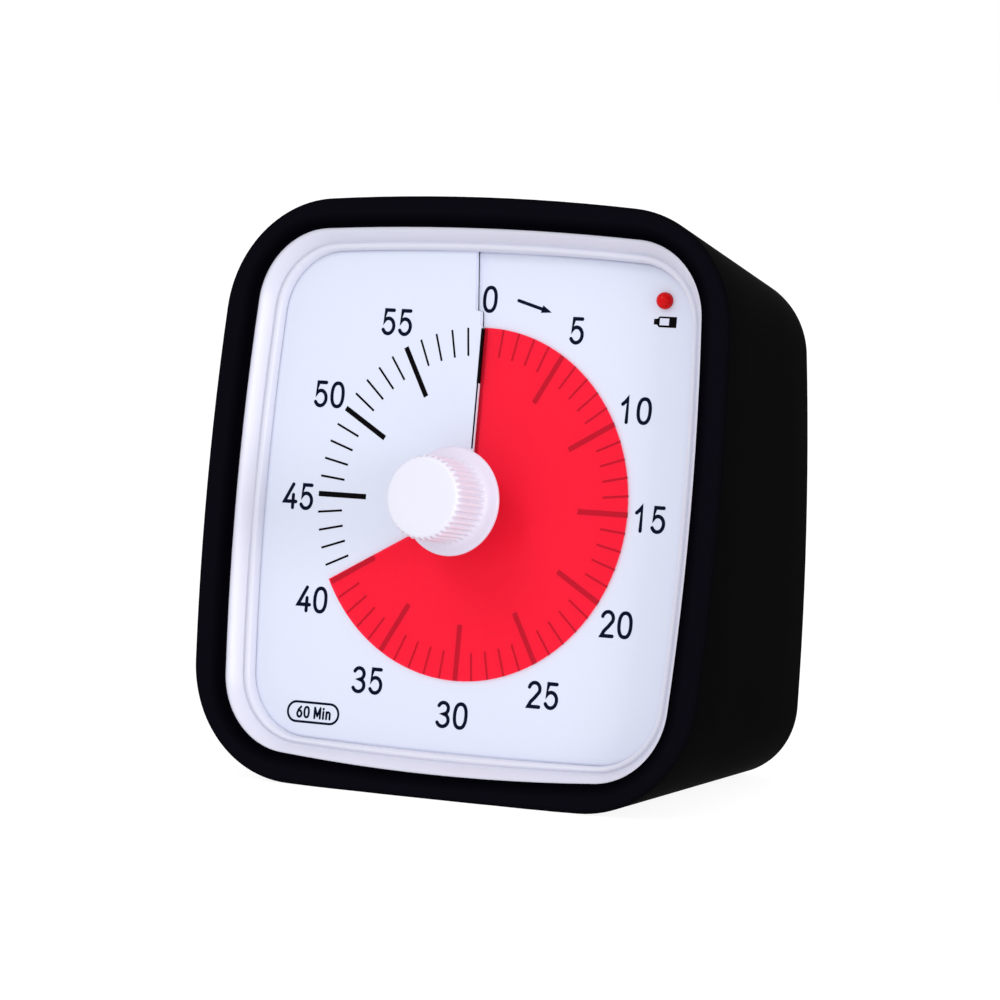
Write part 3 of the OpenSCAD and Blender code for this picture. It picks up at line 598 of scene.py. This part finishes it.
def dialColumns():
    # clockwise turn and distance to the sheet's edge, from the cut round to the cut
    edge = [Vector((p.x, p.y + case["dialDrop"])) for p in outline(case["dial"])]
    found = sorted((turnOf(p.x, p.y), p.length) for p in edge)
    top = max(p.y for p in edge)
    near = [(t, top / math.cos(math.radians(t))) for t in dial["nearCut"]]
    away = [c for c in found if dial["nearEnd"] < c[0] < 360 - dial["nearEnd"]]
    return near + away + [(360 - t, reach) for t, reach in reversed(near)]


def makeDial():
    points, faces = [], []
    columns = dialColumns()
    rows = len(dial["rows"]) + 2 + len(dial["rim"])
    for turn, reach in columns:
        away, side = (360 - turn, -1) if turn > 180 else (turn, 1)
        out = dial["rows"][-1]
        run = [(r, 0) for r in dial["rows"]] + [(lerp(out, reach, k / 3), 0) for k in (1, 2)]
        run += [(reach + past, drop) for past, drop in dial["rim"]]
        for layer in (0, 1):
            for r, drop in run:
                x, y = r * math.sin(math.radians(turn)), r * math.cos(math.radians(turn))
                under = dial["lip"] if turn == 360 and r >= dial["openTo"] else dial["sheet"]
                depth = under if layer else drop
                points.append(axisPoint(x + pullToCut(away, y, side), y, dialTop(turn) - depth))
    step = rows * 2
    for c in range(len(columns) - 1):
        a, b = c * step, (c + 1) * step
        for r in range(rows - 1):
            faces.append((a + r, b + r, b + r + 1, a + r + 1))
            faces.append((a + rows + r, a + rows + r + 1, b + rows + r + 1, b + rows + r))
        faces.append((a, a + rows, b + rows, b))
        faces.append((a + rows - 1, b + rows - 1, b + 2 * rows - 1, a + 2 * rows - 1))
    low, high = 0, (len(columns) - 1) * step
    for r in range(rows - 1):
        faces.append((low + r, low + r + 1, low + rows + r + 1, low + rows + r))
        faces.append((high + r + 1, high + r, high + rows + r, high + rows + r + 1))
    return turnOut(makeMesh("dial_sheet", points, faces))


place(makeDial(), "case", "dial_white", finishes["dial"], "dial_plate")
print("dial made")

ink = {
    "lift": 0.008, "thick": 0.022,
    "tickOut": 29.7, "majorIn": 20.3, "minorIn": 24.95, "majorWidth": 0.9, "minorWidth": 0.36,
    # the zero mark runs along the cut from the skirt of the knob: radii, and places beside the middle; the
    # inner stretch, in to the knob, is a painted shadow of the gap along the cut, the outer stretch is the
    # printed zero mark
    "zero": ((9.3, 20.3, -0.50, -0.21), (20.3, 29.6, -0.55, -0.13)),
    "digitHeight": 4.0, "digitStep": 3.27, "digitStroke": 0.62, "digitWide": 1.10,
    "numbers": {0: (0.0, 34.6), 5: (17.1, 30.0), 10: (29.4, 17.3), 15: (33.8, -0.45),
                20: (29.4, -18.1), 25: (16.9, -30.8), 30: (0, -35.5), 35: (-16.9, -31.0),
                40: (-29.2, -18.1), 45: (-33.7, -0.7), 50: (-29.3, 17.0), 55: (-17.1, 29.9)},
    # length, half width and overlap on the shaft, for the head
    "arrow": ((5.5, 34.6), (12.0, 32.85)), "arrowStroke": 0.56, "arrowHead": (1.8, 0.66, 0.15),
    "pill": (-27.05, -37.3, 10.05, 3.35), "pillStroke": 0.40,
    "pillText": 1.75, "pillTextStep": 1.42, "pillTextStroke": 0.38, "pillTextShift": 0.1,
    "cell": (33.46, 32.15),
    "cellShape": ((-2.1, -0.45), (-1.45, -0.5), (-1.1, -0.9), (2.1, -0.9),
                  (2.1, 0.9), (-1.1, 0.9), (-1.45, 0.5), (-2.1, 0.45)),
    "cellWindow": ((-1.0, -0.55), (0.72, -0.55), (0.72, 0.6), (-1.0, 0.6)), "windowLift": 0.02,
}


def printPoint(x, y, height, turn=None):
    t = sheetTurn(x, y) if turn is None else turn
    return axisPoint(x, y, dialTop(t) + height)


def flatPatch(name, outlinePoints, turn=None, lift=0.0, thick=ink["thick"]):
    # thin patch of ink of any outline, laid on the rising sheet
    n = len(outlinePoints)
    high = ink["lift"] + ink["thick"] + lift
    points = [printPoint(x, y, high - thick, turn) for x, y in outlinePoints]
    points += [printPoint(x, y, high, turn) for x, y in outlinePoints]
    faces = [tuple(range(n))[::-1], tuple(range(n, 2 * n))]
    faces += [(i, (i + 1) % n, n + (i + 1) % n, n + i) for i in range(n)]
    return turnOut(makeMesh(name, points, faces))


def roundEnd(p, d, half):
    n = Vector((-d.y, d.x))
    turns = [math.radians(t) for t in (30, 60, 90, 120, 150)]
    return [p + n * half * math.cos(t) + d * half * math.sin(t) for t in turns]


def strokeSides(path, half, loop):
    # points to the left and right of a path, mitred at its corners
    n = len(path)
    left, right = [], []
    for i, p in enumerate(path):
        before = path[i - 1] if (loop or i > 0) else p
        after = path[(i + 1) % n] if (loop or i < n - 1) else p
        d0, d1 = (p - before), (after - p)
        d0 = d0.normalized() if d0.length > 1e-9 else d1.normalized()
        d1 = d1.normalized() if d1.length > 1e-9 else d0
        d = (d0 + d1).normalized()
        side = Vector((-d.y, d.x)) * half / max(0.5, d.dot(d1))     # no longer than twice the half width
        left.append(p + side)
        right.append(p - side)
    return left, right


def strokePiece(name, path, width, loop=False):
    # flat stroke of even width with round ends, laid on the sheet
    path = [Vector(p) for p in path]
    n, half = len(path), width / 2
    low, high = ink["lift"], ink["lift"] + ink["thick"]
    points, faces = [], []

    def put(p, h):
        points.append(printPoint(p.x, p.y, h))
        return len(points) - 1

    ids = {(s, k, h): put(p, (low, high)[h]) for s, side in enumerate(strokeSides(path, half, loop))
           for k, p in enumerate(side) for h in (0, 1)}
    for k in range(n if loop else n - 1):
        j = (k + 1) % n
        faces.append((ids[0, k, 1], ids[1, k, 1], ids[1, j, 1], ids[0, j, 1]))
        faces.append((ids[0, k, 0], ids[0, j, 0], ids[1, j, 0], ids[1, k, 0]))
        faces.append((ids[0, k, 0], ids[0, k, 1], ids[0, j, 1], ids[0, j, 0]))
        faces.append((ids[1, k, 1], ids[1, k, 0], ids[1, j, 0], ids[1, j, 1]))
    ends = () if loop else (
        (roundEnd(path[-1], (path[-1] - path[-2]).normalized(), half), (0, n - 1), (1, n - 1)),
        (roundEnd(path[0], (path[0] - path[1]).normalized(), half), (1, 0), (0, 0)))
    for cap, first, second in ends:
        tops = [ids[first + (1,)]] + [put(p, high) for p in cap] + [ids[second + (1,)]]
        lows = [ids[first + (0,)]] + [put(p, low) for p in cap] + [ids[second + (0,)]]
        faces.append(tuple(tops))
        faces.append(tuple(reversed(lows)))
        faces += [(lows[i], lows[i + 1], tops[i + 1], tops[i]) for i in range(len(tops) - 1)]
    return turnOut(makeMesh(name, points, faces))


def curve(cx, cy, rx, ry, first, last, steps=14, power=2.0):
    # part of an ellipse, which a higher power makes squarer
    path = []
    for t in sweep(first, last, steps):
        c, s = math.cos(math.radians(t)), math.sin(math.radians(t))
        x = math.copysign(abs(c) ** (2 / power), c)
        y = math.copysign(abs(s) ** (2 / power), s)
        path.append((cx + rx * x, cy + ry * y))
    return path


# strokes of each sign in a box of height 1, whose width is 0.5 for a figure
glyphs = {
    "0": [curve(0.25, 0.5, 0.25, 0.5, 0, 345, 23, 2.35)],
    "1": [[(0.06, 0.74), (0.17, 0.84), (0.27, 1.0), (0.27, 0.0)]],
    "2": [curve(0.25, 0.73, 0.23, 0.27, 165, -25, 14)
          + [(0.30, 0.40), (0.13, 0.20), (0.03, 0.0), (0.49, 0.0)]],
    "3": [curve(0.23, 0.755, 0.22, 0.245, 155, -80, 12) + [(0.20, 0.52)]
          + curve(0.23, 0.265, 0.25, 0.265, 80, -155, 14)],
    "4": [[(0.36, 1.0), (0.0, 0.26), (0.52, 0.26)], [(0.385, 0.55), (0.385, 0.0)]],
    "5": [[(0.45, 1.0), (0.10, 1.0), (0.045, 0.50)] + curve(0.235, 0.325, 0.25, 0.325, 130, -150, 18)],
    "6": [[(0.40, 0.98), (0.16, 0.72)] + curve(0.25, 0.30, 0.24, 0.30, 150, 510, 24)],
    "M": [[(0.0, 0.0), (0.0, 1.0)], [(0.0, 1.0), (0.31, 0.2)],
          [(0.31, 0.2), (0.62, 1.0)], [(0.62, 1.0), (0.62, 0.0)]],
    "i": [[(0.0, 0.0), (0.0, 0.66)], [(0.0, 0.90), (0.0, 0.97)]],
    "n": [[(0.0, 0.0), (0.0, 0.66)],
          [(0.0, 0.44)] + curve(0.19, 0.46, 0.19, 0.2, 150, 0, 8) + [(0.38, 0.0)]],
}
advance = {"M": 0.98, "i": 0.36, "n": 0.5, " ": 0.36}
lastWide = {"figure": 0.5, "letter": 0.38}


def writeSigns(name, text, centre, height, step, stroke):
    # a row of signs centred on a point, as one printed piece
    steps = [step if c.isdigit() else advance[c] * height for c in text]
    wider = ink["digitWide"] if text.isdigit() else 1
    last = lastWide["figure"] * wider if text[-1].isdigit() else lastWide["letter"]
    x = centre[0] - (sum(steps[:-1]) + last * height) / 2
    made = []
    for sign, wide in zip(text, steps):
        for path in glyphs.get(sign, []):
            placed = [(x + px * height * wider, centre[1] + (py - 0.5) * height) for px, py in path]
            made.append(strokePiece("stroke", placed, stroke, loop=sign == "0"))
        x += wide
    return joinPieces(name, made)


def makePrint():
    made = []
    for minute in range(1, 60):
        major = minute % 5 == 0
        inner = ink["majorIn"] if major else ink["minorIn"]
        wide = ink["majorWidth"] if major else ink["minorWidth"]
        t = minute * 6
        along = Vector((math.sin(math.radians(t)), math.cos(math.radians(t))))
        side = Vector((along.y, -along.x)) * wide / 2
        a, b = along * inner, along * ink["tickOut"]
        corners = [a - side, b - side, b + side, a + side]
        made.append(flatPatch("tick", [(p.x, p.y) for p in corners]))
    # the inner stretch is a painted shadow along the cut, the outer one the printed zero mark
    for low, high, left, right in ink["zero"]:
        ends = sweep(low, high, 3)
        for a, b in zip(ends, ends[1:]):
            made.append(flatPatch("line", [(left, a), (left, b), (right, b), (right, a)]))
    low, high, _, right = ink["zero"][-1]   # the outer part is printed over the edge of the sheet too
    edge = right + ink["lift"] + ink["thick"]
    corners = [(right, low), (right, high), (edge, high), (edge, low)]
    made.append(flatPatch("edge", corners, 360, thick=dial["sheet"]))
    ticks = joinPieces("minute_marks", made)
    place(ticks, "case", "dial_white", finishes["inkBlack"])
    sizes = ink["digitHeight"], ink["digitStep"], ink["digitStroke"]
    for number, at in ink["numbers"].items():
        text = writeSigns(f"number_{number:02d}", str(number), at, *sizes)
        place(text, "case", "dial_white", finishes["ink"])


def makeArrow():
    a, b = (Vector(p) for p in ink["arrow"])
    d = (b - a).normalized()
    n = Vector((-d.y, d.x))
    length, half, overlap = ink["arrowHead"]
    neck = b - d * length
    shaft = strokePiece("shaft", [a, lerp(a, neck, 0.5), neck], ink["arrowStroke"])
    base = neck - d * overlap
    head = flatPatch("head", [(p.x, p.y) for p in (base + n * half, base - n * half, b)])
    place(joinPieces("turn_arrow", [shaft, head]), "case", "dial_white", finishes["ink"])


def makePill():
    cx, cy, w, h = ink["pill"]
    r = h / 2
    path = curve(cx + w / 2 - r, cy, r, r, -90, 90, 16) + curve(cx - w / 2 + r, cy, r, r, 90, 270, 16)
    frameLine = strokePiece("pill", path, ink["pillStroke"], loop=True)
    sizes = ink["pillText"], ink["pillTextStep"], ink["pillTextStroke"]
    text = writeSigns("minutes", "60 Min", (cx + ink["pillTextShift"], cy), *sizes)
    place(joinPieces("sixty_minutes", [frameLine, text]), "case", "dial_white", finishes["ink"])


def makeCellSign():
    cx, cy = ink["cell"]
    body = flatPatch("cell_sign", [(cx + x, cy + y) for x, y in ink["cellShape"]])
    window = [(cx + x, cy + y) for x, y in ink["cellWindow"]]
    pane = flatPatch("cell_sign_window", window, lift=ink["windowLift"])
    place(body, "case", "dial_white", finishes["inkBlack"])
    place(pane, "case", "dial_white", finishes["dial"])


makePrint()
makeArrow()
makePill()
makeCellSign()
print("print made")

disc = {
    "gap": 0.15, "sheet": 0.35, "outerR": 29.75, "rows": (4.8, 10, 16, 22, 27),
    "edge": 0.08, "blunt": 0.55,    # width of the rounded edge, and share of the sheet left upright there
    "first": -112.0, "last": 241.0, "step": 2.0,    # turns of its two ends at rest
}


def makeDisc():
    # section from the middle out over the top, round the edge and back below: radius, and share of
    # half the thickness
    half, last = disc["sheet"] / 2, disc["outerR"]
    flat = list(disc["rows"]) + [last - disc["edge"]]
    rim = [(last, disc["blunt"]), (last, -disc["blunt"])]
    section = [(r, 1) for r in flat] + rim + [(r, -1) for r in reversed(flat)]
    n = len(section)
    turns = sweep(disc["first"], disc["last"], int((disc["last"] - disc["first"]) / disc["step"]))
    points = []
    for t in turns:
        middle = dialTop(t) + disc["gap"] + half
        s, c = math.sin(math.radians(t)), math.cos(math.radians(t))
        points += [axisPoint(r * s, r * c, middle + side * half) for r, side in section]
    faces = [(j * n + i, j * n + (i + 1) % n, (j + 1) * n + (i + 1) % n, (j + 1) * n + i)
             for j in range(len(turns) - 1) for i in range(n)]
    faces += [tuple(range(n))[::-1], tuple((len(turns) - 1) * n + i for i in range(n))]
    return turnOut(makeMesh("disc_film", points, faces))


discPiece = place(makeDisc(), "disc", "disc_red", finishes["film"], "red_disc")
discPiece.visible_shadow = False  # the clear film leaves the print below it in full light
print("disc made")

knob = {
    "flutes": 40, "samples": 14, "depth": 0.46, "narrow": 1.7,
    "gripR": 7.1, "top": 10.7, "bottom": -4.1,
    # radius, height above the bottom of the knob, and how far the flutes show there
    "profile": ((3.0, 8.0, 0), (3.0, 0, 0), (5.0, 0, 0), (5.2, 0.2, 0), (5.2, 4.2, 0), (5.5, 4.45, 0),
                (8.8, 4.5, 0), (9.05, 4.6, 0), (9.15, 4.8, 0), (9.15, 5.05, 0), (9.05, 5.25, 0),
                (8.8, 5.38, 0), (8.3, 5.5, 0), (7.8, 5.68, 0), (7.4, 5.98, 0),
                (7.22, 6.25, 0.12), (7.13, 6.55, 0.6), (7.1, 6.9, 1)),
    # the same, with the depth below the top instead
    "bevel": ((7.1, 1.0, 1), (6.98, 0.75, 0.7), (6.85, 0.5, 0.35), (6.72, 0.3, 0.12), (6.55, 0.12, 0),
              (6.35, 0.03, 0), (6.2, 0, 0), (4.0, 0, 0), (1.2, 0, 0)),
    "shaded": (5.6, 7.0),   # heights above the bottom between which the skirt's painted shade and painted red reflection fade
    "grip": (7.4, 1.6),     # ends of the even grip, above the bottom and below the top
}


def makeKnob():
    count = knob["flutes"] * knob["samples"]
    profile = [(r, knob["bottom"] + h, w) for r, h, w in knob["profile"]]
    top = knob["top"]
    above, below = knob["grip"]
    profile += [(knob["gripR"], z, 1) for z in sweep(knob["bottom"] + above, top - below, 3)]
    profile += [(r, top - h, w) for r, h, w in knob["bevel"]]
    rings = []
    for r, z, weight in profile:
        ring = []
        for i in range(count):
            groove = (0.5 + 0.5 * math.cos(2 * math.pi * i / knob["samples"])) ** knob["narrow"]
            ring.append(axisPoint(*polar(r - weight * knob["depth"] * groove, 360 * i / count), z))
        rings.append(ring)
    piece = loft("knob_grip", rings, closed=False, creaseAngle=60)
    first, last = (knob["bottom"] + h for h in knob["shaded"])
    # painted shade and painted red reflection, strongest low on the skirt
    layTone(piece, [min(1, max(0, (last - z) / (last - first))) for _, z, _ in profile], count)
    return piece


place(makeKnob(), "spindle_set", "knob_white", finishes["knob"], "knob")
print("knob made")

light = {
    "at": (33.2, 35.65), "r": 1.42, "flangeR": 1.9, "flangeHigh": 1.0, "top": -4.5, "low": -11.2,
    "legs": 0.9, "legR": 0.25, "legEnd": -15.0, "legSides": 10,
    "domeTo": 84, "domeSteps": 12, "domeSides": 40,
}


def circleRing(x, y, r, z, count):
    around = (polar(r, t) for t in sweep(0, 360, count)[:-1])
    return [axisPoint(x + p.x, y + p.y, z) for p in around]


def makeLight():
    x, y = light["at"]
    r, low, flange = light["r"], light["low"], light["low"] + light["flangeHigh"]
    centre = light["top"] - r
    profile = [(light["flangeR"], low), (light["flangeR"], flange), (r, flange + 0.05)]
    for p in (polar(r, t) for t in sweep(0, light["domeTo"], light["domeSteps"])):
        profile.append((p.x, centre + p.y))
    made = [loft("dome", [circleRing(x, y, q, z, light["domeSides"]) for q, z in profile], closed=False)]
    for across in (x - light["legs"], x + light["legs"]):
        ends = [circleRing(across, y, light["legR"], z, light["legSides"]) for z in (light["legEnd"], low)]
        made.append(loft("leg", ends, closed=False))
    return joinPieces("signal_lamp", made)


place(makeLight(), "case", "led_red", finishes["lens"], "indicator_led")
print("lamp made")

stageSet = {"half": 30000, "steps": 8}


def makeFloor():
    line = sweep(-stageSet["half"], stageSet["half"], stageSet["steps"])
    n = len(line)
    points = [(x, y, 0) for y in line for x in line]
    faces = [(j * n + i, j * n + i + 1, (j + 1) * n + i + 1, (j + 1) * n + i)
             for j in range(n - 1) for i in range(n - 1)]
    floor = makeMesh("studio_floor", points, faces)
    made = Finish("studio_paper", Specular_IOR_Level=0.05,
                  Emission_Color=rgba(1, 1, 1), Emission_Strength=0.91)
    broad = made.noise(2.0, 2)
    made.set("Base Color", made.mix(broad, rgba(0.145, 0.145, 0.147), rgba(0.14, 0.14, 0.142)))
    made.set("Roughness", 0.8 + broad * 0.1)
    floor.data.materials.append(made.material)


lamps = {
    # place, aim, width, height, watts, colour
    "key": ((-300, -700, 800), (0, -20, 50), 500, 400, 1.5, (1.0, 0.99, 0.985)),
    "right": ((900, -330, 150), (0, 0, 50), 260, 420, 3.9, (1.0, 1.0, 1.0)),
}


def makeLamps():
    for name, (at, aim, wide, high, watts, colour) in lamps.items():
        data = bpy.data.lights.new(name, "AREA")
        data.shape = "RECTANGLE"
        data.size, data.size_y = wide * mm, high * mm
        data.energy = watts
        data.color = colour
        lamp = bpy.data.objects.new(name, data)
        lamp.location = Vector(at) * mm
        lamp.rotation_euler = (Vector(at) - Vector(aim)).to_track_quat("Z", "Y").to_euler()
        bpy.context.scene.collection.objects.link(lamp)


cameraSet = {
    # place of the lens, and the directions to the right and up in the picture
    "at": (395.85, -704.8, 119.3),
    "right": (0.86935, 0.49382, 0.01948), "up": (-0.06025, 0.06679, 0.99595),
    "lens": 171.44, "sensor": 36.0,
}


def makeCamera():
    data = bpy.data.cameras.new("photo_view")
    data.lens, data.sensor_width = cameraSet["lens"], cameraSet["sensor"]
    camera = bpy.data.objects.new("photo_view", data)
    right = Vector(cameraSet["right"]).normalized()
    up = (Vector(cameraSet["up"]) - right * right.dot(Vector(cameraSet["up"]))).normalized()
    turn = Matrix((right, up, right.cross(up))).transposed().to_4x4()
    camera.matrix_world = Matrix.Translation(Vector(cameraSet["at"]) * mm) @ turn
    bpy.context.scene.collection.objects.link(camera)
    bpy.context.scene.camera = camera


def makeWorld():
    world = bpy.data.worlds.new("studio_air")
    world.use_nodes = True
    sky = world.node_tree.nodes["Background"]
    sky.inputs["Color"].default_value = rgba(1.0, 1.0, 1.015)
    sky.inputs["Strength"].default_value = 1.0
    bpy.context.scene.world = world
    bpy.context.scene.view_settings.view_transform = "Standard"


makeFloor()
makeLamps()
makeCamera()
makeWorld()
print("stage made")
